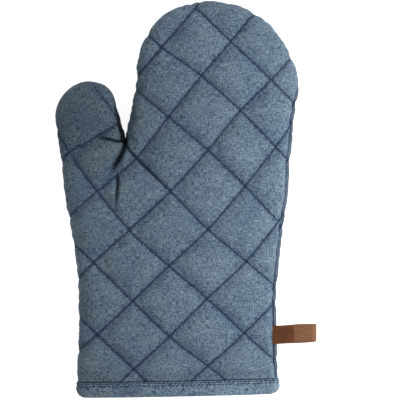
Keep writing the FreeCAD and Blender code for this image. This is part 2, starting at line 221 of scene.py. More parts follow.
def distances(tree, points):
    found = [tree.find((p[0], p[1], 0)) for p in points]
    return np.array([f[2] for f in found]), np.array([f[1] for f in found])


def inside(polygon, points):
    """Whether each point lies in a polygon."""
    x, y = points[:, 0], points[:, 1]
    odd = np.zeros(len(points), bool)
    for (x0, y0), (x1, y1) in zip(polygon, np.roll(polygon, -1, axis=0)):
        crosses = (y0 > y) != (y1 > y)
        slope = (x1 - x0) / (y1 - y0 if y1 != y0 else 1e-12)
        odd ^= crosses & (x < x0 + (y - y0) * slope)
    return odd


# --- plan curves in metres ----------------------------------------------------------------------
QUILT_CURVES = [curve(np.array(p) * MM, 0.6 * MM) for p in RISING + FALLING]
BORDER_CURVE = curve(np.array(THUMB_BORDER) * MM, 0.6 * MM)
LINES = [*QUILT_CURVES, BORDER_CURVE]
QUILT_TREE = tree_of(np.vstack(QUILT_CURVES))
CREASE_CURVES = [(curve(np.array(p) * MM, 0.5 * MM), d * MM, w * MM, k) for p, d, w, k in CREASES]


def edge_curve():
    """The mitt's edge from cuff to cuff, and its inward directions, level at both ends of the edge."""
    edge = curve(np.array(OUTLINE) * MM, 0.2 * MM)
    tangent = unit(np.gradient(edge, axis=0))
    inward = np.stack([tangent[:, 1], -tangent[:, 0]], axis=1)
    window = np.ones(11) / 11
    padded = np.vstack([inward[:1]] * 5 + [inward] + [inward[-1:]] * 5)
    inward = unit(np.stack([np.convolve(padded[:, i], window, "valid") for i in (0, 1)], axis=1))
    run = along(edge)
    for from_end, facing in ((run, 1.0), (run[-1] - run, -1.0)):
        ease = smooth(from_end / (12 * MM))[:, None]
        inward = unit(ease * inward + (1 - ease) * np.array([facing, 0.0]))
    off, _ = distances(QUILT_TREE, edge)
    dip = SCALLOP * (np.exp(-((off / (3.2 * MM)) ** 2)) - 0.35) * MM
    dip *= smooth((edge[:, 1] + 134 * MM) / (10 * MM))
    return edge + inward * dip[:, None], inward


EDGE, INWARD = edge_curve()
INNER = EDGE + INWARD * RIM * MM
INNER_RUN = along(INNER)
INNER_TREE = tree_of(INNER)
NOTCH = int(np.argmin(np.where((EDGE[:, 0] < -40 * MM) & (EDGE[:, 0] > -50 * MM), EDGE[:, 1], 1)))


def seam_tilt(run):
    """Angle above the edge at which the side seam lies; the back's cloth rolls up on the loop's side."""
    x = np.interp(run, INNER_RUN, EDGE[:, 0])
    y = np.interp(run, INNER_RUN, EDGE[:, 1])
    right = smooth((x - 30 * MM) / (20 * MM)) * smooth((108 * MM - y) / (40 * MM))
    return math.radians(38) * right


def at_edge(run, depth):
    """Plan points at a depth inwards from the edge, at distances run along the inner ring."""
    base = np.stack([np.interp(run, INNER_RUN, EDGE[:, i]) for i in (0, 1)], axis=-1)
    into = unit(np.stack([np.interp(run, INNER_RUN, INWARD[:, i]) for i in (0, 1)], axis=-1))
    return base + into * depth[..., None], into


def towards_cuff(y):
    return smooth((-100 * MM - y) / (40 * MM))


def seam_level(y):
    """Height of the middle of the edge; it drops towards the cuff and the fingertips."""
    tip = smooth((y - 105 * MM) / (45 * MM))
    return (SEAM_HEIGHT - SEAM_DROP * towards_cuff(y) - 1.5 * tip) * MM


def rise(side, y):
    """Height of the stitched surface over the middle of the edge, or depth below it."""
    if side == "palm":
        return PALM_RISE * (1 - 0.22 * towards_cuff(y)) * MM
    return seam_level(y) - BACK_LEVEL * MM


def dome(side, deep):
    return (DOME if side == "palm" else 0.0) * (1 - np.exp(-deep / (24 * MM))) * MM


def settle(points):
    """The cuff's end leans a little, higher on the loop's side, and so does the cloth near it."""
    near_cuff = smooth((-112 * MM - points[:, 1]) / (24 * MM))
    lean = np.clip((points[:, 0] + 82 * MM) / (152 * MM), 0, 1) ** 1.4
    moved = points.copy()
    moved[:, 1] += 3.0 * MM * lean * near_cuff
    return moved


def shared_vertex(point, polygon, points, shared):
    """The vertex where two lines cross, made once for both, or None too near the ring or outside it."""
    cell = tuple(np.round(point / (0.8 * MM)).astype(int))
    near = [k for k in shared if abs(k[0] - cell[0]) <= 1 and abs(k[1] - cell[1]) <= 1]
    if near:
        return shared[near[0]]
    if not inside(polygon, point[None])[0] or np.linalg.norm(polygon - point, axis=1).min() <= 0.7 * MM:
        return None
    shared[cell] = len(points)
    points.append(tuple(point))
    return shared[cell]


def lay_line(line, marks, polygon, points, edges):
    """Vertices along a line between its marks, as unbroken chains of the stretches inside the ring."""
    run = along(line)
    chains = [[]]
    for (start, first), (end, second) in zip(marks, marks[1:]):
        count = max(1, round((end - start) / SPACING))
        places = np.linspace(start, end, count + 1)[1:-1]
        steps = np.stack([np.interp(places, run, line[:, i]) for i in (0, 1)], axis=1)
        if len(steps) and not inside(polygon, steps[len(steps) // 2][None])[0]:
            chains.append([])
            continue
        path = [first, *range(len(points), len(points) + len(steps)), second]
        points.extend(map(tuple, steps))
        edges.extend(zip(path, path[1:]))
        chains[-1].extend(path[1:] if chains[-1] else path)
    return [chain for chain in chains if chain]


def fill_points(polygon, points):
    """A triangular grid over the rest of the middle, clear of the points that are there already."""
    low, high = polygon.min(axis=0), polygon.max(axis=0)
    grid = np.array([
        (x + (row % 2) * SPACING / 2, y)
        for row, y in enumerate(np.arange(low[1], high[1], SPACING * math.sqrt(0.75)))
        for x in np.arange(low[0], high[0], SPACING)
    ])
    grid = grid[inside(polygon, grid)]
    off, _ = distances(tree_of(points), grid)
    return [tuple(p) for p in grid[off > 0.62 * SPACING]]


class Panel:
    """One quilted panel: vertices, triangles, and what each vertex needs to know."""

    def __init__(self, side):
        self.side = side
        self.up = 1.0 if side == "palm" else -1.0
        self.rim_rings()
        self.middle()
        self.shape()

    def rim_rings(self):
        """Rings from the seam to the inner ring; where quilting crosses a ring, a vertex sits on it."""
        run = np.linspace(0, INNER_RUN[-1], int(INNER_RUN[-1] / SPACING) + 1)
        fixed = np.zeros(len(run), bool)
        fixed[[0, -1]] = True
        self.cross = []
        for number, line in enumerate(LINES):
            places, _, _ = crossings(INNER, line)
            for place in sorted(places):
                free = np.where(fixed, np.inf, np.abs(run - place))
                column = int(np.argmin(free))
                run[column] = place
                fixed[column] = True
                self.cross.append((number, column, place))
        order = np.argsort(run)
        back = np.argsort(order)
        run = run[order]
        self.cross = [(number, int(back[column]), place) for number, column, place in self.cross]
        tilt = seam_tilt(run)
        share = np.linspace(0, 1, RINGS + 1)[:, None]
        self.angle = tilt + share * (self.up * math.pi / 2 - tilt)
        self.run = np.repeat(run[None], RINGS + 1, axis=0)
        depth = RIM * MM * (1 - np.cos(self.angle))
        self.columns = len(run)
        self.on_line = np.zeros((RINGS + 1, self.columns), bool)
        self.on_line[0] = True
        self.diagonal = {}
        self.rim_chains = {}
        for number, column, place in self.cross:
            if number < len(QUILT_CURVES):
                self.follow_line(number, column, place, depth)
        self.plan, self.into = at_edge(self.run, depth)
        self.depth = depth.reshape(-1)

    def follow_line(self, number, column, place, depth):
        """Slide one vertex of every ring on to a quilting line, from the inner ring to the seam."""
        chain = [(RINGS, column)]
        self.on_line[RINGS, column] = True
        last_run, last_column = place, column
        for ring in range(RINGS - 1, -1, -1):
            runs = last_run + np.linspace(-4, 4, 33) * MM
            runs = runs[(runs > 0) & (runs < INNER_RUN[-1])]
            level = np.interp(runs, self.run[ring], depth[ring])
            path, _ = at_edge(runs, level)
            hit, _, _ = crossings(path, LINES[number])
            if not len(hit):
                break
            hits = np.interp(hit, along(path), runs)
            last_run = float(hits[np.argmin(np.abs(hits - last_run))])
            near = [c for c in (last_column - 1, last_column, last_column + 1) if 0 < c < self.columns - 1]
            best = min(near, key=lambda c: abs(self.run[ring, c] - last_run), default=None)
            if best is None or self.on_line[ring, best] and ring:
                break
            if ring:
                self.run[ring, best] = last_run
            self.on_line[ring, best] = True
            if best != last_column:
                self.diagonal[ring, min(best, last_column)] = best > last_column
            chain.append((ring, best))
            last_column = best
        self.rim_chains[number, column] = chain

    def rim_id(self, ring, column):
        return ring * self.columns + column

    def middle(self):
        """Triangles of the middle, which follow the quilting lines and the thumb's border."""
        ring = self.plan[RINGS]
        cuff_count = max(2, int(np.linalg.norm(ring[-1] - ring[0]) / SPACING))
        polygon = np.vstack([ring, np.linspace(ring[-1], ring[0], cuff_count + 1)[1:-1]])
        points = [tuple(p) for p in polygon]
        edges = [(i, (i + 1) % len(polygon)) for i in range(len(polygon))]
        shared, chains = {}, []
        for number, line in enumerate(LINES):
            marks = self.marks_on(number, polygon, points, shared)
            chains += [(number, chain) for chain in lay_line(line, marks, polygon, points, edges)]
        points.extend(fill_points(polygon, points))
        made = geometry.delaunay_2d_cdt([Vector(p) for p in points], edges, [], 0, 1e-7)
        plan, _, faces, sources = made[:4]
        new_of = {old: new for new, olds in enumerate(sources) for old in olds}
        ring_new = {new_of[column]: self.rim_id(RINGS, column) for column in range(self.columns)}
        self.offset = (RINGS + 1) * self.columns
        number_of = [ring_new.get(new, self.offset + new) for new in range(len(plan))]
        self.mid_plan = np.array([tuple(p) for p in plan])
        keep = inside(polygon, np.array([np.mean([plan[i] for i in f], axis=0) for f in faces]))
        self.mid_faces = [[number_of[i] for i in face] for face, good in zip(faces, keep) if good]
        self.mid_chains = [(number, [number_of[new_of[i]] for i in chain]) for number, chain in chains]

    def marks_on(self, number, polygon, points, shared):
        """Where a line meets the ring, the cuff and the other lines: pairs of distance and vertex."""
        line = LINES[number]
        run = along(line)
        marks = []
        for other, column, _ in self.cross:
            if other == number:
                nearest = int(np.argmin(np.linalg.norm(line - polygon[column], axis=1)))
                marks.append((run[nearest], column))
        level = polygon[0, 1] + 1.2 * MM
        places, _, found = crossings(line, np.array([(-200 * MM, level), (200 * MM, level)]))
        for place, point in zip(places, found):
            if number < len(QUILT_CURVES) and inside(polygon, point[None])[0]:
                marks.append((place, len(points)))
                points.append(tuple(point))
        for other, crossing_line in enumerate(LINES):
            if other == number:
                continue
            places, _, found = crossings(line, crossing_line)
            for place, point in zip(places, found):
                vertex = shared_vertex(point, polygon, points, shared)
                if vertex is not None:
                    marks.append((place, vertex))
        return sorted({mark[1]: mark for mark in marks}.values())

    def rim_faces(self):
        faces = []
        for ring in range(RINGS):
            for column in range(self.columns - 1):
                a, b = self.rim_id(ring, column), self.rim_id(ring, column + 1)
                c, d = self.rim_id(ring + 1, column + 1), self.rim_id(ring + 1, column)
                # The diagonal follows a quilting line where one crosses the strip at a slant.
                if self.diagonal.get((ring, column), True):
                    faces += [[a, b, d], [b, c, d]]
                else:
                    faces += [[a, b, c], [a, c, d]]
        return faces

    def shape(self):
        """Put every vertex in space, and work out directions, distances and faces."""
        angle, into = self.angle.reshape(-1), self.into.reshape(-1, 2)
        plan = np.vstack([self.plan.reshape(-1, 2), self.mid_plan])
        y, steep = plan[: self.offset, 1], np.sin(angle)
        lift = rise("palm", y) * np.maximum(steep, 0) + rise("back", y) * np.minimum(steep, 0)
        rim_height = seam_level(y) + lift
        rim_out = np.column_stack([-into * np.cos(angle)[:, None], steep])
        arc = (math.pi / 2 - self.up * angle) * (RIM + 2) * MM
        inner = np.tile(self.plan[RINGS], (RINGS + 1, 1))
        deep, _ = distances(INNER_TREE, self.mid_plan)
        y = self.mid_plan[:, 1]
        height = seam_level(y) + self.up * (rise(self.side, y) + dome(self.side, deep))
        self.points = np.column_stack([plan, np.r_[rim_height, height]])
        self.out = unit(np.vstack([rim_out, np.tile([0.0, 0.0, self.up], (len(y), 1))]))
        self.flat = np.vstack([inner - into * arc[:, None], self.mid_plan])
        self.quilt, _ = distances(QUILT_TREE, plan)
        held = np.zeros(len(plan), bool)
        held[: self.offset] = self.on_line.reshape(-1)
        for number, chain in self.mid_chains:
            if number < len(QUILT_CURVES):
                held[chain] = True
        cuff = np.abs(plan[:, 1] - EDGE[0, 1]) < 0.3 * MM
        self.quilt = np.where(held, 0, self.quilt)
        self.held = held | cuff | (self.quilt < 0.45 * SPACING)
        self.faces = np.array(self.rim_faces() + self.mid_faces)
        self.face_the_right_way()
        self.join_chains()

    def face_the_right_way(self):
        a, b, c = (self.points[self.faces[:, i]] for i in range(3))
        normal = np.cross(b - a, c - a)
        wrong = (normal * self.out[self.faces].sum(axis=1)).sum(axis=1) < 0
        self.faces[wrong] = self.faces[wrong][:, ::-1]

    def join_chains(self):
        """Whole rows of quilting: the part in the middle, and where it runs on over the rim."""
        self.rows = []
        for number, chain in self.mid_chains:
            if number >= len(QUILT_CURVES):
                continue
            for end in (0, -1):
                for (line, column), rim in self.rim_chains.items():
                    if line == number and chain[end] == self.rim_id(RINGS, column):
                        run = [self.rim_id(*place) for place in rim[1:]]
                        chain = [*reversed(run), *chain] if end == 0 else [*chain, *run]
            self.rows.append((number, chain))

    def thumb_faces(self):
        """Which faces belong to the thumb's piece."""
        return inside(thumb_plan(), self.points[:, :2][self.faces].mean(axis=1))


def thumb_plan():
    """The thumb's part of the plan, bounded by its border and the rising line that carries it on."""
    line = QUILT_CURVES[THUMB_LINE]
    mine, other, _ = crossings(line, BORDER_CURVE)
    lower = line[along(line) <= mine[0]]
    upper = BORDER_CURVE[along(BORDER_CURVE) <= other[0]]
    far = np.array([(-160, -22), (-160, 160), (-50, 160), (-46.2, 60)]) * MM
    return np.vstack([upper, lower[::-1], far])


def clear_of_cuff(y):
    """0 where the binding holds the cloth, 1 from a little above it."""
    return smooth((y + 138 * MM) / (10 * MM))


def cell_share(panel):
    """0 at the stitching, towards 1 in the middle of a cell."""
    return 1 - np.exp(-((panel.quilt / (PUFF_SCALE * MM)) ** 1.4))


def by_ring(panel, values):
    """One value for every ring, given to each vertex of the rim."""
    return np.repeat(values, panel.columns)


def puffed(panel, height):
    """Vertices of a panel raised between its quilting lines."""
    near = 0.26 * (1 - np.exp(-panel.quilt / (1.1 * MM)))
    wide = 0.74 * cell_share(panel)
    rim_share = np.ones(len(panel.points))
    rim_share[: panel.offset] = by_ring(panel, np.linspace(0, 1, RINGS + 1) ** 0.6)
    swell = height * MM * (near + wide) * rim_share * clear_of_cuff(panel.points[:, 1])
    return panel.points + panel.out * swell[:, None]


CLOTH_SETTINGS = {
    "quality": 6, "mass": 0.3, "tension_stiffness": 12, "compression_stiffness": 12, "shear_stiffness": 6,
    "bending_stiffness": 0.15, "tension_damping": 8, "compression_damping": 8, "air_damping": 4,
    "vertex_group_mass": "held", "shrink_min": -0.035, "use_pressure": True, "uniform_pressure_force": 3.0,
}
CLOTH_FRAMES = 20


def simulate(panel, start, cap):
    """Blow the cloth up between its held vertices, and limit how far any vertex goes."""
    scale = 10.0
    mesh = bpy.data.meshes.new("cloth_run")
    mesh.from_pydata((start * scale).tolist(), [], panel.faces.tolist())
    cloth = bpy.data.objects.new("cloth_run", mesh)
    bpy.context.scene.collection.objects.link(cloth)
    group = cloth.vertex_groups.new(name="held")
    group.add([int(i) for i in np.nonzero(panel.held)[0]], 1.0, "REPLACE")
    modifier = cloth.modifiers.new("cloth", "CLOTH")
    for key, value in CLOTH_SETTINGS.items():
        setattr(modifier.settings, key, value)
    modifier.settings.effector_weights.gravity = 0
    modifier.collision_settings.use_collision = False
    modifier.point_cache.frame_start = 1
    modifier.point_cache.frame_end = CLOTH_FRAMES
    scene = bpy.context.scene
    for number in range(1, CLOTH_FRAMES + 1):
        scene.frame_set(number)
    made = cloth.evaluated_get(bpy.context.evaluated_depsgraph_get()).to_mesh()
    moved = np.zeros(len(mesh.vertices) * 3, np.float32)
    made.vertices.foreach_get("co", moved)
    moved = moved.reshape(-1, 3).astype(float) / scale - start
    bpy.data.objects.remove(cloth)
    bpy.data.meshes.remove(mesh)
    scene.frame_set(1)
    length = np.linalg.norm(moved, axis=1)
    limit = cap * MM * clear_of_cuff(start[:, 1])
    return start + moved * np.minimum(1, limit / np.maximum(length, 1e-9))[:, None]


def relaxed(panel, points, amount, rounds):
    """Ease single vertices towards their neighbours, except where the cloth is held."""
    a, b, c = panel.faces.T
    pairs = np.vstack([np.c_[a, b], np.c_[b, c], np.c_[c, a]])
    pairs = np.vstack([pairs, pairs[:, ::-1]])
    count = np.bincount(pairs[:, 0], minlength=len(points))[:, None]
    for _ in range(rounds):
        total = np.zeros_like(points)
        np.add.at(total, pairs[:, 0], points[pairs[:, 1]])
        mean = total / np.maximum(count, 1)
        points = np.where(panel.held[:, None], points, points + amount * (mean - points))
    return points


def creased(panel, points):
    """Press the creases by the thumb into the palm, and give each vertex its painted shade: the notch's, and
    along the creases' bottoms.
    """
    dark = notch_shade(panel)
    pressed = np.zeros(len(points))
    off_seam = np.ones(len(points))
    off_seam[: panel.offset] = by_ring(panel, smooth(np.arange(RINGS + 1) / (0.4 * RINGS)))
    for line, depth, width, shade in CREASE_CURVES if panel.side == "palm" else ():
        off, number = distances(tree_of(line), points)
        share = number / (len(line) - 1)
        narrow = width * (0.55 + 1.8 * share * (1 - share))
        fade = smooth((1 - share) / 0.55)
        press = np.exp(-((off / narrow) ** 2)) * fade
        pressed = np.maximum(pressed, depth * press * off_seam)
        # Painted shade along the bottom of each crease.
        dark = np.maximum(dark, shade * press)
    return points - panel.out * pressed[:, None], dark


def notch_shade(panel):
    """Painted shade on the thumb's side in the notch, where no light gets in."""
    dark = np.zeros(len(panel.points))
    past_notch = panel.run.reshape(-1) - INNER_RUN[NOTCH]
    x, y = panel.points[: panel.offset, :2].T
    low = smooth((86 * MM - y) / (36 * MM))
    by_notch = (past_notch > -46 * MM) & (past_notch <= 1.5 * MM) & (x > -66 * MM)
    reach = (0.6 + 4.2 * low) * MM
    shade = 1.2 * low**0.5 * smooth((reach - panel.depth) / (0.45 * reach))
    dark[: panel.offset] = np.where(by_notch, shade, 0)
    return dark


def puckers(panel, rng):
    """Small gathers that run out from the quilting lines."""
    wave = np.zeros(len(panel.points))
    for length, size in ((4.6, 0.16), (7.9, 0.22)):
        phase = rng.uniform(0, 2 * math.pi, 4)
        x, y = panel.flat.T / (length * MM) * 2 * math.pi
        wave += size * (np.sin(x * 0.71 + y * 0.69 + phase[0] + 1.3 * np.sin(y * 0.31 + phase[1])))
        wave += size * (np.sin(x * 0.69 - y * 0.72 + phase[2] + 1.3 * np.sin(x * 0.27 + phase[3])))
    near = np.exp(-panel.quilt / (3.0 * MM)) * (1 - np.exp(-panel.quilt / (0.8 * MM)))
    return wave * near * MM * clear_of_cuff(panel.points[:, 1])


def finished_panel(side, rng):
    """A panel with its outer surface puffed up, gathered and creased, and the wall's thickness."""
    panel = Panel(side)
    height, cap = (PUFF, PALM_CAP) if side == "palm" else (BACK_PUFF, BACK_CAP)
    start = puffed(panel, 0.8 * height)
    outer = simulate(panel, start, cap)
    outer = relaxed(panel, outer, 0.35, 1)
    outer = outer + panel.out * puckers(panel, rng)[:, None]
    outer, panel.dark = creased(panel, outer)
    groove = np.zeros(len(outer))
    groove[: panel.offset] = by_ring(panel, np.exp(-np.arange(RINGS + 1) / 1.1))
    groove *= smooth((outer[:, 1] + 141 * MM) / (8 * MM))
    panel.groove = groove
    # Painted shade in the seam's groove, stronger towards the cuff.
    shade = 0.38 + 0.57 * smooth((-50 * MM - outer[:, 1]) / (30 * MM))
    panel.dark = np.maximum(panel.dark, shade * groove)
    # Painted shade on the back's rounded edge, darkest at the seam.
    if side == "back":
        rim = panel.dark[: panel.offset]
        rim[:] = np.maximum(rim, 0.45 * np.exp(-panel.depth / (4 * MM)))
    outer = outer - panel.out * (0.9 * MM * groove)[:, None]
    outer[:, 2] = np.maximum(outer[:, 2], FLOOR_GAP * MM)
    panel.outer = outer
    swell = WALL_SWELL * cell_share(panel) * clear_of_cuff(panel.points[:, 1])
    below = ((panel.points - outer) * panel.out).sum(axis=1)
    panel.wall = np.maximum((WALL_AT_STITCH + swell) * MM, below + (COTTON + LEAST_WADDING) * MM)
    return panel


# --- meshes -------------------------------------------------------------------------------------
def new_object(name, mesh, material):
    piece = bpy.data.objects.new(name, mesh)
    bpy.context.scene.collection.objects.link(piece)
    mesh.materials.append(material)
    mesh.polygons.foreach_set("use_smooth", [True] * len(mesh.polygons))
    mesh.update()
    return piece


def add_attributes(mesh, **named):
    """Give a mesh's vertices numbers or vectors that its material reads by name."""
    for name, values in named.items():
        values = np.ascontiguousarray(values, np.float32)
        kind, key = ("FLOAT_VECTOR", "vector") if values.ndim == 2 else ("FLOAT", "value")
        attribute = mesh.attributes.new(name, kind, "POINT")
        attribute.data.foreach_set(key, values.reshape(-1))


def painted_light_tone(points):
    """Painted light and shade: the cloth is painted lighter on the loop's side, where the light falls, and
    darker round the thumb.
    """
    x, y = points[:, 0], points[:, 1]
    from_thumb = np.hypot((x + 72 * MM) / 1.3, y - 62 * MM)
    deeper = 0.34 * np.exp(-((from_thumb / (50 * MM)) ** 2))
    return np.clip(1.04 + 2.4 * x * (1 - 3 * y), 0.8, 1.25) * (1 - deeper)


def vertex_normals(points, faces):
    a, b, c = (points[faces[:, i]] for i in range(3))
    normal = np.cross(b - a, c - a)
    total = np.zeros_like(points)
    for i in range(3):
        np.add.at(total, faces[:, i], normal)
    return unit(total)


def layer(name, panel, faces, outside, inside_points, material):
    """A closed sheet of cloth or wadding between two copies of a panel's chosen faces."""
    used, local = np.unique(faces, return_inverse=True)
    local = local.reshape(-1, 3)
    count = len(used)
    edges = np.vstack([local[:, [0, 1]], local[:, [1, 2]], local[:, [2, 0]]])
    back_edges = {(b, a) for a, b in edges}
    border = [(a, b) for a, b in map(tuple, edges) if (a, b) not in back_edges]
    walls = [(b, a, a + count, b + count) for a, b in border]
    shell = local.tolist() + (local[:, ::-1] + count).tolist() + walls
    points = np.vstack([outside[used], inside_points[used]])
    mesh = bpy.data.meshes.new(name)
    mesh.from_pydata(settle(points).tolist(), [], shell)
    flat = np.column_stack([panel.flat[used], np.zeros(count)])
    # Darker and bluer near the stitching and in the seam's groove: partly the cloth's colour, partly painted
    # shade.
    near = np.exp(-panel.quilt[used] / (3.0 * MM)) + panel.groove[used]
    line = np.exp(-((panel.quilt[used] / (0.55 * MM)) ** 2))
    add_attributes(mesh, weave=np.vstack([flat, flat]), dark=np.tile(panel.dark[used], 2),
                   tone=painted_light_tone(points), near_stitch=np.tile(near, 2), stitch_line=np.tile(line, 2))
    piece = new_object(name, mesh, material)
    normal = vertex_normals(outside, panel.faces)[used]
    under = -vertex_normals(inside_points, panel.faces)[used]
    mesh.normals_split_custom_set_from_vertices(np.vstack([normal, under]).tolist())
    return piece


def rod_faces(rings, around):
    """Faces of a closed rod made of rings of vertices, with its two ends."""
    faces = []
    for i in range(rings - 1):
        for j in range(around):
            k = (j + 1) % around
            faces.append((i * around + j, i * around + k, (i + 1) * around + k, (i + 1) * around + j))
    faces.append(tuple(range(around))[::-1])
    faces.append(tuple((rings - 1) * around + j for j in range(around)))
    return faces


def tube(centres, normals, sides, radius):
    """Rings of a closed rod along a path, thinner at its two ends, as points and faces."""
    tangent = unit(np.gradient(centres, axis=0))
    across = unit(np.cross(tangent, normals))
    over = np.cross(across, tangent)
    taper = np.sqrt(np.clip(1 - (np.linspace(-1, 1, len(centres)) * 0.96) ** 4, 0, 1))
    turn = np.linspace(0, 2 * math.pi, sides, endpoint=False)
    ring = np.cos(turn)[None, :, None] * across[:, None] + np.sin(turn)[None, :, None] * over[:, None]
    points = centres[:, None] + ring * (radius * taper)[:, None, None]
    return points.reshape(-1, 3), rod_faces(len(centres), sides)


def stretches(chosen):
    """First and past-the-last index of each unbroken stretch of a row of yes and no."""
    return np.nonzero(np.diff(np.r_[False, chosen, False].astype(int)))[0].reshape(-1, 2)


def stitches(path, normals, rng):
    """Separate stitches along a path that lies on the cloth, each with its ends drawn into it."""
    run = along(path)
    place = rng.uniform(0, STITCH) * MM
    made = []
    while place + STITCH * MM < run[-1]:
        length = STITCH * rng.uniform(0.85, 1.12) * MM
        where = place + np.linspace(0, 1, 6) * length
        centre = np.stack([np.interp(where, run, path[:, i]) for i in range(3)], axis=1)
        normal = unit(np.stack([np.interp(where, run, normals[:, i]) for i in range(3)], axis=1))
        arch = THREAD * MM * (0.55 - 1.15 * np.linspace(-1, 1, 6) ** 4)
        centre = centre + normal * arch[:, None]
        made.append(tube(centre, normal, 6, THREAD * rng.uniform(0.9, 1.1) * MM))
        place += length + STITCH_GAP * rng.uniform(0.7, 1.4) * MM
    return made


def joined_mesh(name, made, material):
    points, faces, start = [], [], 0
    for more_points, more_faces in made:
        points.append(more_points)
        faces.extend(tuple(i + start for i in face) for face in more_faces)
        start += len(more_points)
    mesh = bpy.data.meshes.new(name)
    mesh.from_pydata(np.vstack(points).tolist(), [], faces)
    return new_object(name, mesh, material)


# --- materials ----------------------------------------------------------------------------------
class Shader:
    """A material and short ways to add and link its nodes."""

    def __init__(self, name):
        self.material = bpy.data.materials.new(name)
        self.material.use_nodes = True
        self.tree = self.material.node_tree
        self.surface = self.tree.nodes["Principled BSDF"]

    def set(self, node, **inputs):
        """Link or set inputs, named by their words or, as n0, n1 and so on, by their number."""
        for key, value in inputs.items():
            by_number = key.startswith("n")
            socket = node.inputs[int(key[1:]) if by_number else key.replace("_", " ")]
            if isinstance(value, bpy.types.NodeSocket):
                self.tree.links.new(value, socket)
            else:
                socket.default_value = value
        return node

    def node(self, kind, settings=None, **inputs):
        node = self.tree.nodes.new("ShaderNode" + kind)
        for key, value in (settings or {}).items():
            setattr(node, key, value)
        return self.set(node, **inputs)

    def attribute(self, name, output):
        return self.node("Attribute", {"attribute_name": name}).outputs[output]

    def math(self, operation, a, b=0.0, clamp=False):
        return self.node("Math", {"operation": operation, "use_clamp": clamp}, n0=a, n1=b).outputs[0]

    def scaled(self, vector, scale):
        return self.node("VectorMath", {"operation": "MULTIPLY"}, n0=vector, n1=scale).outputs[0]

    def noise(self, vector, scale, detail=2.0, roughness=0.5):
        made = self.node("TexNoise", Vector=vector, Scale=scale, Detail=detail, Roughness=roughness)
        return made.outputs["Fac"]

    def bands(self, vector, direction, scale, **inputs):
        settings = {"wave_type": "BANDS", "bands_direction": direction}
        return self.node("TexWave", settings, Vector=vector, Scale=scale, **inputs).outputs[1]

    def remap(self, value, low, high, to_low=0.0, to_high=1.0):
        made = self.node("MapRange", {"clamp": True}, Value=value)
        return self.set(made, From_Min=low, From_Max=high, To_Min=to_low, To_Max=to_high).outputs[0]

    def mix(self, share, a, b, blend="MIX"):
        made = self.node("Mix", {"data_type": "RGBA", "blend_type": blend})
        self.set(made, n0=share, n6=a, n7=b)
        return made.outputs[2]

    def bump(self, height, distance, strength=1.0, normal=None):
        made = self.node("Bump", Height=height, Distance=distance, Strength=strength)
        if normal is not None:
            self.set(made, Normal=normal)
        return made.outputs[0]


def colour(red, green, blue):
    """A screen colour as the linear one that shaders use."""
    values = np.array([red, green, blue]) / 255
    linear = np.where(values < 0.04045, values / 12.92, ((values + 0.055) / 1.055) ** 2.4)
    return (*linear.tolist(), 1.0)


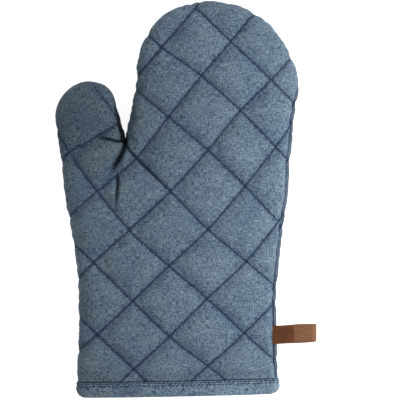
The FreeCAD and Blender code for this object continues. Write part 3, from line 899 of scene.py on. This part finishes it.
def chambray(name, turn, spread, shadow_line_level=None):
    """Heathered cotton: navy and pale yarns crossing, with slubs; darker down in the stitched lines, partly
    dye and partly painted shade.
    """
    shader = Shader(name)
    flat = shader.attribute("weave", "Vector")
    turned = shader.node("VectorRotate", {"rotation_type": "Z_AXIS"}, Vector=flat, Angle=turn).outputs[0]
    weft = shader.noise(shader.scaled(turned, (300.0, 1250.0, 1.0)), 1.0, 2.0, 0.55)
    warp = shader.noise(shader.scaled(turned, (1250.0, 300.0, 1.0)), 1.0, 2.0, 0.55)
    slub = shader.noise(turned, 900.0, 2.0, 0.6)
    yarns = shader.math("ADD", shader.math("ADD", weft, warp), shader.math("MULTIPLY", slub, 0.8))
    share = shader.remap(yarns, 1.4 - spread, 1.4 + spread)
    wrinkle = shader.noise(shader.scaled(turned, (60.0, 190.0, 1.0)), 1.0, 3.0, 0.6)
    cloud = shader.noise(turned, 46.0, 3.0, 0.6)
    share = shader.math("ADD", share, shader.remap(cloud, 0.3, 0.7, -0.11, 0.11))
    share = shader.math("ADD", share, shader.remap(wrinkle, 0.3, 0.7, -0.08, 0.08))
    # Darker and bluer near the stitching and in the seam's groove: partly the cloth's colour, partly painted
    # shade.
    near = shader.attribute("near_stitch", "Fac")
    share = shader.math("SUBTRACT", share, shader.math("MULTIPLY", near, 0.13), clamp=True)
    yarn = shader.mix(share, colour(36, 57, 89), colour(130, 150, 159))
    blue = shader.noise(turned, 30.0, 2.0)
    bluer = shader.remap(blue, 0.5, 0.75, 0.0, 0.25)
    bluer = shader.math("ADD", bluer, shader.math("MULTIPLY", near, 0.12), clamp=True)
    yarn = shader.mix(bluer, yarn, colour(54, 78, 120))
    # The tone attribute paints light and shade: lighter on the loop's side, darker round the thumb.
    tone = shader.attribute("tone", "Fac")
    grey = shader.node("CombineXYZ", n0=tone, n1=tone, n2=tone).outputs[0]
    yarn = shader.mix(1.0, yarn, grey, "MULTIPLY")
    line = shader.math("MULTIPLY", shader.attribute("stitch_line", "Fac"), 0.8)
    yarn = shader.mix(line, yarn, colour(22, 36, 68))
    # Painted shade: the dark attribute, from the notch, the creases, the seam's groove and the back's edge,
    # mixes the cloth towards near-black.
    dark = shader.attribute("dark", "Fac")
    # A painted shadow: a dark line along the cloth just above the binding's top edge.
    if shadow_line_level is not None:
        level = shader.node("SeparateXYZ", n0=flat).outputs[1]
        off = shader.math("ABSOLUTE", shader.math("SUBTRACT", level, shadow_line_level))
        dark = shader.math("MAXIMUM", dark, shader.remap(off, 0.35 * MM, 0.95 * MM, 0.85, 0.0))
    dark = shader.math("MULTIPLY", dark, 0.95, clamp=True)
    cloth = shader.mix(dark, yarn, colour(6, 11, 19))
    threads = [shader.bands(turned, axis, 420.0, Distortion=1.2, Detail=1.0) for axis in "XY"]
    grain = shader.math("MULTIPLY", *threads)
    fine = shader.bump(grain, 0.00018, 0.5)
    soft = shader.bump(shader.noise(turned, 190.0, 4.0, 0.6), 0.0012, 0.5, fine)
    shader.set(shader.surface, Base_Color=cloth, Normal=shader.bump(wrinkle, 0.0016, 0.45, soft))
    shader.set(shader.surface, Roughness=shader.remap(yarns, 1.0, 2.0, 0.82, 0.97))
    sheen = shader.math("MULTIPLY", shader.math("SUBTRACT", 1.0, dark), 0.1)
    shader.set(shader.surface, Sheen_Weight=sheen, Sheen_Roughness=0.45)
    shader.set(shader.surface, Specular_IOR_Level=0.15)
    return shader.material


def plain_cotton(name, base, deep):
    """The lining's plain weave, a little uneven, shaded where the quilting pulls it in."""
    shader = Shader(name)
    flat = shader.attribute("weave", "Vector")
    weft = shader.noise(shader.scaled(flat, (300.0, 1900.0, 1.0)), 1.0, 2.0)
    warp = shader.noise(shader.scaled(flat, (1900.0, 300.0, 1.0)), 1.0, 2.0)
    yarns = shader.math("MULTIPLY", shader.math("ADD", weft, warp), 0.5)
    near = shader.attribute("near_stitch", "Fac")
    share = shader.remap(yarns, 0.3, 0.65)
    share = shader.math("SUBTRACT", share, shader.math("MULTIPLY", near, 0.4), clamp=True)
    shader.set(shader.surface, Base_Color=shader.mix(share, deep, base))
    soft = shader.bump(shader.noise(flat, 240.0, 4.0), 0.0009, 0.5)
    shader.set(shader.surface, Normal=shader.bump(yarns, 0.0002, 0.6, soft))
    shader.set(shader.surface, Roughness=shader.remap(yarns, 0.3, 0.7, 0.85, 0.98), Sheen_Weight=0.1)
    return shader.material


def batting(name):
    """Wadding: tangled pale fibres."""
    shader = Shader(name)
    place = shader.attribute("weave", "Vector")
    fibres = shader.noise(shader.scaled(place, (900.0, 260.0, 1.0)), 1.0, 5.0, 0.7)
    tufts = shader.noise(place, 160.0, 4.0, 0.6)
    share = shader.remap(fibres, 0.35, 0.65)
    shader.set(shader.surface, Base_Color=shader.mix(share, colour(196, 188, 172), colour(238, 234, 224)))
    shader.set(shader.surface, Normal=shader.bump(shader.math("ADD", fibres, tufts), 0.0012, 0.7))
    shader.set(shader.surface, Roughness=shader.remap(tufts, 0.3, 0.7, 0.88, 1.0), Sheen_Weight=0.2)
    return shader.material


def navy_thread(name, lighter):
    """Twisted sewing thread, nearly black where it sinks into the cloth."""
    shader = Shader(name)
    place = shader.node("TexCoord").outputs["Object"]
    twist = shader.bands(place, "DIAGONAL", 900.0, Distortion=1.5)
    shade = shader.noise(place, 220.0, 2.0)
    share = shader.math("MULTIPLY", twist, shader.remap(shade, 0.35, 0.7), clamp=True)
    shader.set(shader.surface, Base_Color=shader.mix(share, colour(12, 22, 40), lighter))
    shader.set(shader.surface, Normal=shader.bump(twist, 0.00012, 0.7))
    shader.set(shader.surface, Roughness=shader.remap(shade, 0.3, 0.7, 0.55, 0.75))
    return shader.material


def leather(name):
    """Vegetable-tanned strap: fine grain, darker pores and edges; paler partly by wear at the bends, partly
    by painted light.
    """
    shader = Shader(name)
    place = shader.node("TexCoord").outputs["Object"]
    pores = shader.node("TexVoronoi", {"feature": "DISTANCE_TO_EDGE"}, Vector=place, Scale=1500.0).outputs[0]
    grain = shader.noise(place, 900.0, 4.0, 0.65)
    cloud = shader.noise(place, 120.0, 3.0)
    streak = shader.noise(shader.scaled(place, (90.0, 900.0, 400.0)), 1.0, 3.0)
    patches = shader.remap(cloud, 0.3, 0.7, 0.1, 0.6)
    share = shader.math("ADD", patches, shader.remap(grain, 0.3, 0.7, 0.0, 0.4))
    hide = shader.mix(share, colour(68, 33, 11), colour(116, 69, 33))
    hide = shader.mix(shader.remap(streak, 0.5, 0.72, 0.0, 0.4), hide, colour(58, 30, 14))
    patchy = shader.remap(streak, 0.3, 0.7, 1.35, 0.65)
    # Paler leather from the attribute read here: partly wear at the bends, partly painted light on the side
    # facing the light.
    worn = shader.math("MULTIPLY", shader.attribute("worn", "Fac"), patchy, clamp=True)
    hide = shader.mix(worn, hide, colour(144, 104, 76))
    hide = shader.mix(shader.attribute("cut_edge", "Fac"), hide, colour(128, 88, 58))
    pits = shader.remap(pores, 0.0, 0.25)
    shader.set(shader.surface, Base_Color=hide)
    rough = shader.bump(pits, 0.00012, 0.5)
    shader.set(shader.surface, Normal=shader.bump(grain, 0.0002, 0.5, rough))
    shader.set(shader.surface, Roughness=shader.remap(grain, 0.3, 0.7, 0.5, 0.72))
    shader.set(shader.surface, Specular_IOR_Level=0.25)
    return shader.material


CLOTH = chambray("chambray", 0.02, 0.35, shadow_line_level=(BINDING_TOP + 0.45) * MM)
BIAS_CLOTH = chambray("chambray_on_the_bias", math.radians(45), 0.28)
LINING_CLOTH = plain_cotton("lining_cotton", colour(176, 178, 178), colour(128, 132, 136))
BATTING = batting("wadding")
QUILT_THREAD = navy_thread("quilting_thread", colour(26, 41, 74))
CUFF_THREAD = navy_thread("cuff_thread", colour(20, 32, 54))
LEATHER = leather("leather")


def stand_for(nodes):
    """A piece takes the place of CAD nodes, which are hidden."""
    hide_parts(*nodes)


def bend(piece, region):
    """Bake a piece's placement into its mesh, the same way for a piece of the hand and a piece of the thumb.
    """
    if region == "thumb":
        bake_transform(piece)
        return
    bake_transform(piece)


# --- pieces -------------------------------------------------------------------------------------
REGION_NODES = {"hand": ("hand", "fingers"), "thumb": ("thumb",)}


def quilted_layers(panel):
    """Shell, wadding and lining of one panel, for the hand with its fingers and for the thumb."""
    of_thumb = panel.thumb_faces()
    shell_in = panel.outer - panel.out * (COTTON * MM)
    core_in = panel.points - panel.out * panel.wall[:, None]
    gap = LAYER_GAP * MM
    surfaces = {
        "shell": ("cotton", panel.outer, shell_in, CLOTH, "outer_cotton"),
        "wadding": ("filling", shell_in - panel.out * gap, core_in + panel.out * gap, BATTING, "wadding"),
        "lining": ("liner", core_in, core_in - panel.out * (LINING * MM), LINING_CLOTH, "lining_cotton"),
    }
    for region, chosen in (("hand", ~of_thumb), ("thumb", of_thumb)):
        faces = panel.faces[chosen]
        for kind, (word, outside, under, material, slot) in surfaces.items():
            name = "_".join((panel.side, word, region))
            piece = layer(name, panel, faces, outside, under, material)
            declare(kind, region, panel, faces, outside)
            stand_for(["_".join((panel.side, kind, n)) for n in REGION_NODES[region]])
            bend(piece, region)


def declare(kind, region, panel, faces, outside):
    """Wadding and the quilted shell are padded; for the lining, a sheet, the area and the size it was cut to
    are worked out and not used.
    """
    if kind != "lining":
        return
    a, b, c = (outside[faces[:, i]] for i in range(3))
    area = float(np.linalg.norm(np.cross(b - a, c - a), axis=1).sum() / 2)
    size = panel.flat[np.unique(faces)]
    width, length = size.max(axis=0) - size.min(axis=0)
    area = min(area, float(width * length))


def loose_rows(panel):
    """Stretches of quilting near the edge that no row of vertices follows, laid on the cloth."""
    surface = BVHTree.FromPolygons(panel.outer.tolist(), panel.faces.tolist())
    found = []
    for number, line in enumerate(QUILT_CURVES):
        followed = [panel.points[v, :2] for n, chain in panel.rows if n == number for v in chain]
        away = distances(tree_of(followed), line)[0] if followed else np.ones(len(line))
        bare = inside(EDGE, line) & (away > 1.3 * SPACING)
        for first, last in stretches(bare):
            hits = [surface.ray_cast((x, y, panel.up * 0.1), (0, 0, -panel.up)) for x, y in line[first:last]]
            hits = [(tuple(h[0]), tuple(h[1])) for h in hits if h[0] and h[1].z * panel.up > 0.3]
            if len(hits) > 6:
                path, normals = (np.array(v) for v in zip(*hits))
                found.append((path, normals))
    return found


def quilting(panel, rng):
    """The rows of stitches on one panel, kept apart for the hand with its fingers and for the thumb."""
    normals = vertex_normals(panel.outer, panel.faces)
    rows = [(panel.outer[chain], normals[chain]) for _, chain in panel.rows] + loose_rows(panel)
    thumb = thumb_plan()
    made = {"hand": [], "thumb": []}
    for path, out in rows:
        shown = path[:, 1] > (BINDING_TOP - 1) * MM
        on_thumb = inside(thumb, path[:, :2])
        for region, chosen in (("hand", shown & ~on_thumb), ("thumb", shown & on_thumb)):
            for first, last in stretches(chosen):
                if last - first > 3:
                    made[region] += stitches(settle(path[first:last]), out[first:last], rng)
    for region, found in made.items():
        piece = joined_mesh("_".join((panel.side, "quilt_rows", region)), found, QUILT_THREAD)
        nodes = ["_".join((panel.side, "quilting", n)) for n in REGION_NODES[region]]
        stand_for(nodes)
        bend(piece, region)


def side_seam(palm, back, rng):
    """The seam's thread, down in the groove between the palm's edge and the back's."""
    edge = (palm.outer[: palm.columns] + back.outer[: back.columns]) / 2
    out = unit(palm.out[: palm.columns] + back.out[: back.columns])
    run = palm.run[0]
    border = [column for number, column, _ in palm.cross if number == THUMB_LINE][0]
    notch = int(np.argmin(np.abs(run - INNER_RUN[NOTCH])))
    shown = edge[:, 1] > (BINDING_TOP - 1) * MM
    spans = {
        "hand": [np.nonzero(shown & (np.arange(palm.columns) <= border))[0],
                 np.nonzero(shown & (np.arange(palm.columns) >= notch))[0]],
        "thumb": [np.arange(border, notch + 1)],
    }
    for region, parts in spans.items():
        found = []
        for part in parts:
            found += stitches(settle(edge[part]), out[part], rng)
        piece = joined_mesh("seam_rows_" + region, found, QUILT_THREAD)
        stand_for(["side_seam_" + n for n in REGION_NODES[region]])
        bend(piece, region)


def section(y, off):
    """The mitt's cross-section at a level, as a closed loop moved outwards by off, with directions."""
    edge_y = EDGE[:, 1]
    half = len(EDGE) // 2
    left = np.interp(y, edge_y[: half // 4], EDGE[: half // 4, 0])
    right = np.interp(-y, -edge_y[-half // 4:], EDGE[-half // 4:, 0])
    middle = seam_level(np.array(y))
    bends = np.linspace(0, math.pi / 2, 13)
    across = np.linspace(left + RIM * MM, right - RIM * MM, 62)[1:-1]
    deep = np.minimum(across - left, right - across) - RIM * MM
    points, normals = [], []

    def corner(side, x, facing, angles):
        up = 1 if side == "palm" else -1
        for angle in angles:
            depth = RIM * MM * (1 - math.cos(angle))
            points.append((x + facing * depth, middle + up * rise(side, y) * math.sin(angle)))
            normals.append((-facing * math.cos(angle), up * math.sin(angle)))

    def top(side, xs, depths):
        up = 1 if side == "palm" else -1
        for x, depth in zip(xs, depths):
            points.append((x, middle + up * (rise(side, y) + dome(side, depth))))
            normals.append((0.0, up))

    corner("palm", left, 1, bends)
    top("palm", across, deep)
    corner("palm", right, -1, bends[::-1])
    corner("back", right, -1, bends[1:])
    top("back", across[::-1], deep[::-1])
    corner("back", left, 1, bends[:0:-1])
    normals = np.array(normals)
    loop = np.array(points, float) + normals * off
    return np.insert(loop, 1, y, axis=1), np.insert(normals, 1, 0, axis=1)


def round_corners(points, share):
    """Lift the end of the cuff at its two side edges, so that its corners are round."""
    left, right = points[:, 0].min(), points[:, 0].max()
    radius = 5.5 * MM
    near = np.clip(np.minimum(points[:, 0] - left, right - points[:, 0]) / radius, 0, 1)
    lift = radius * (1 - np.sqrt(np.clip(1 - (1 - near) ** 2, 0, 1))) * share * 0.8
    moved = points.copy()
    moved[:, 1] += lift
    return moved


def binding_profile():
    """The folded strip in section: pairs of offset from the wall and level, in millimetres."""
    wall = WALL_AT_STITCH + LINING
    end, top, thick = -CUFF, BINDING_TOP, BINDING_THICK
    outer = [(0.05, top), (0.45 * thick, top + 0.25), (thick, top - 0.05), (thick + 0.12, top - 1.0),
             (thick - 0.08, top - 1.9), (thick + 0.05, top - 2.8), (thick + 0.3, top - 4.5),
             (thick + 0.35, top - 6.5), (thick + 0.2, top - 8.2)]
    radius = wall / 2 + thick
    turn = [(-wall / 2 + radius * math.cos(a), end + radius * 0.72 * (1 - math.sin(a)))
            for a in np.linspace(0.15, math.pi - 0.15, 9)]
    inner = [(-wall - thick - 0.1, top - 6), (-wall - thick, top - 2), (-wall - 0.6 * thick, top + 0.2),
             (-wall - 0.1, top)]
    under = [(-wall - 0.08, end + 3.4), (-wall / 2, end + 1.5), (0.03, end + 3.4)]
    return outer + turn + inner + under


def cuff_binding():
    """The bias strip folded over the end of the cuff, with its rows of stitches."""
    rings = []
    profile = binding_profile()
    end, top = -CUFF, BINDING_TOP
    for off, level in profile:
        loop, _ = section(max(level, end + 0.8) * MM, off * MM)
        loop[:, 1] = level * MM
        share = smooth((top - 1.5 - level) / (top - 1.5 - end))
        rings.append(round_corners(loop, share))
    count, around = len(rings), len(rings[0])
    phase = np.random.default_rng(SEED).uniform(0, 2 * math.pi, 6)
    run = along(rings[0])
    for number, (ring, (off, level)) in enumerate(zip(rings, profile)):
        body = smooth((top - 2.2 - level) / 2) * smooth((level - end) / 3)
        wave = sum(
            math.sin(phase[k]) * 0.05 + 0.11 * np.sin(run / MM / size + phase[k] + 0.8 * level)
            for k, size in enumerate((1.9, 3.1, 4.7))
        )
        _, normal = section(max(level, end + 0.8) * MM, 0)
        sign = 1 if off > -1 else -1
        rings[number] = ring + normal * (wave * body * sign * MM)[:, None]
    points = np.vstack(rings)
    points[:, 2] = np.maximum(points[:, 2], 0.1 * MM)
    faces = []
    for i in range(count):
        for j in range(around):
            k, n = (j + 1) % around, (i + 1) % count
            faces.append((i * around + j, n * around + j, n * around + k, i * around + k))
    mesh = bpy.data.meshes.new("bias_binding")
    mesh.from_pydata(settle(points).tolist(), [], faces)
    levels = along(np.array(profile))
    flat = np.array([(run[j], levels[i] * MM, 0) for i in range(count) for j in range(around)])
    rows = CUFF_ROWS.values()
    # Darker near the two rows of stitches, partly the cloth's colour and partly painted shade.
    near = [sum(math.exp(-abs(level - row) / 0.7) for row in rows) * 0.8 for _, level in profile]
    # A painted highlight: a paler band between the two rows of stitches.
    worn_fold = [1 + 0.35 * math.exp(-(((level - top + 1.6) / 0.5) ** 2)) for _, level in profile]
    add_attributes(mesh, weave=flat, dark=np.zeros(len(points)), near_stitch=np.repeat(near, around),
                   stitch_line=np.zeros(len(points)),
                   tone=1.12 * painted_light_tone(points) * np.repeat(worn_fold, around))
    piece = new_object("bias_binding", mesh, BIAS_CLOTH)
    solve_normals(piece)
    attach(piece, "hand")
    stand_for(["cuff_binding"])
    cuff_rows(profile[2:9])


def cuff_rows(outer_leg):
    """The two rows of stitches on the binding's outer leg, given as offsets and levels from the top down."""
    rng = np.random.default_rng(SEED + 1)
    offsets, levels = zip(*outer_leg)
    for name, row in CUFF_ROWS.items():
        off = np.interp(-row, [-level for level in levels], offsets)
        loop, normal = section(row * MM, (off + 0.02) * MM)
        loop = np.vstack([loop, loop[:1]])
        normal = np.vstack([normal, normal[:1]])
        rows_made = joined_mesh(name + "_rows", stitches(settle(loop), normal, rng), CUFF_THREAD)
        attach(rows_made, "hand")
        stand_for([name])


def solve_normals(piece):
    """Make all faces of a closed mesh face outwards."""
    made = bmesh.new()
    made.from_mesh(piece.data)
    bmesh.ops.recalc_face_normals(made, faces=made.faces)
    made.to_mesh(piece.data)
    made.free()


# The middle of the strap's thickness, as pairs of x and height in millimetres.
LOOP_PATH = [
    (61.5, 19.6), (66, 20.9), (70, 21.3), (76, 21.9), (80.6, 22.2), (82.6, 22.0), (88, 20.9), (93, 19.6),
    (97.2, 17.9), (98.2, 16.2), (97.3, 14.7), (94, 14.0), (88, 14.3), (81, 16.2), (74, 18.4), (68, 19.0),
    (61.5, 18.6),
]


def hanging_loop():
    """A leather strap folded back on itself, its two ends going into the side seam."""
    low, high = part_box("hanging_loop")
    middle_y, width = (low[1] + high[1]) / 2, high[1] - low[1]
    line = curve(np.array(LOOP_PATH) * MM, 0.8 * MM)
    tangent = unit(np.gradient(line, axis=0))
    normal = np.stack([-tangent[:, 1], tangent[:, 0]], axis=1)
    thick, bevel = 1.45 * MM, 0.35 * MM
    half = width / 2 * 0.955
    section_points = []
    for side in (-1, 1):
        for u in (-1, -0.9, -0.45, 0, 0.45, 0.9, 1):
            edge = int(abs(u) == 1)
            section_points.append((-side * u * half, side * (thick / 2 - (bevel if edge else 0)), edge))
    points, cut_edge, worn = [], [], []
    run = along(line)
    for number, (centre, out) in enumerate(zip(line, normal)):
        share = run[number] / run[-1]
        lean = (centre[0] - 66 * MM) * 0.045
        # Paler leather: painted light on the half past the peak, which faces the light; partly wear, partly
        # a painted highlight at the peak's crease and the fold's tip.
        lit_half = 0.34 * float(smooth((centre[0] / MM - 81.4) / 1.6))
        crease = 0.2 * math.exp(-(((centre[0] / MM - 82) / 0.8) ** 2))
        turn = 0.35 * math.exp(-(((share - 0.472) / 0.03) ** 2))
        for u, v, edge in section_points:
            wobble = 0.12 * MM * math.sin(share * 19 + (1 if u > 0 else 4)) if abs(u) > 0.8 * half else 0
            spot = centre + out * v
            points.append((spot[0], middle_y - 0.7 * MM + lean + u + wobble, spot[1]))
            cut_edge.append(0.85 * edge)
            worn.append(lit_half + crease + turn)
    mesh = bpy.data.meshes.new("leather_loop")
    mesh.from_pydata(points, [], rod_faces(len(line), len(section_points)))
    add_attributes(mesh, cut_edge=cut_edge, worn=worn)
    piece = new_object("leather_loop", mesh, LEATHER)
    solve_normals(piece)
    stand_for(["hanging_loop"])
    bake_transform(piece)


def repaint_tab():
    """The strap's ends inside the seam keep their CAD shape and get the leather."""
    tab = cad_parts["loop_tab"]
    tab.data.materials.clear()
    tab.data.materials.append(LEATHER)


# --- floor, light and camera --------------------------------------------------------------------
def floor_and_light():
    mesh = bpy.data.meshes.new("floor")
    corners = [(-1, -1), (1, -1), (1, 1), (-1, 1)]
    mesh.from_pydata([(3.0 * x, 3.0 * y, 0) for x, y in corners], [], [(0, 1, 2, 3)])
    paint = Shader("floor")
    place = paint.node("TexCoord").outputs["Object"]
    tone = paint.remap(paint.noise(place, 8.0, 2.0), 0.3, 0.7, 0.94, 1.0)
    pale = paint.mix(tone, (0.86, 0.86, 0.86, 1), (0.9, 0.9, 0.9, 1))
    paint.set(paint.surface, Base_Color=pale, Roughness=0.9)
    paint.set(paint.surface, Emission_Color=(1, 1, 1, 1), Emission_Strength=0.85)
    floor = new_object("floor", mesh, paint.material)
    world = bpy.data.worlds.new("studio")
    bpy.context.scene.world = world
    world.use_nodes = True
    background = world.node_tree.nodes["Background"].inputs
    background["Color"].default_value = (1, 1, 1, 1)
    background["Strength"].default_value = 0.315
    lamp("key", (0.5, 0.05, 0.62), 0.5, 5.5)
    lamp("fill", (-0.4, -0.6, 0.9), 0.8, 1.25)


def lamp(name, place, size, power):
    light = bpy.data.lights.new(name, "AREA")
    light.shape = "DISK"
    light.size = size
    light.energy = power
    lamp_object = bpy.data.objects.new(name, light)
    lamp_object.location = place
    lamp_object.rotation_euler = (-Vector(place)).to_track_quat("-Z", "Y").to_euler()
    bpy.context.scene.collection.objects.link(lamp_object)


def camera():
    """Straight down on the palm, from far enough away to keep the outline true."""
    view_width = 0.3026
    centre = (0.0106, -0.0003)
    height, level = 1.6, 0.018
    data = bpy.data.cameras.new("camera")
    data.sensor_width = 36
    data.lens = 36 * (height - level) / view_width
    eye = bpy.data.objects.new("camera", data)
    eye.location = (centre[0], centre[1], height)
    bpy.context.scene.collection.objects.link(eye)
    bpy.context.scene.camera = eye
    bpy.context.scene.view_settings.view_transform = "Standard"


def main():
    rng = np.random.default_rng(SEED)
    floor_and_light()
    camera()
    panels = {side: finished_panel(side, rng) for side in ("palm", "back")}
    for panel in panels.values():
        quilted_layers(panel)
        quilting(panel, rng)
    side_seam(panels["palm"], panels["back"], rng)
    cuff_binding()
    hanging_loop()
    repaint_tab()


main()
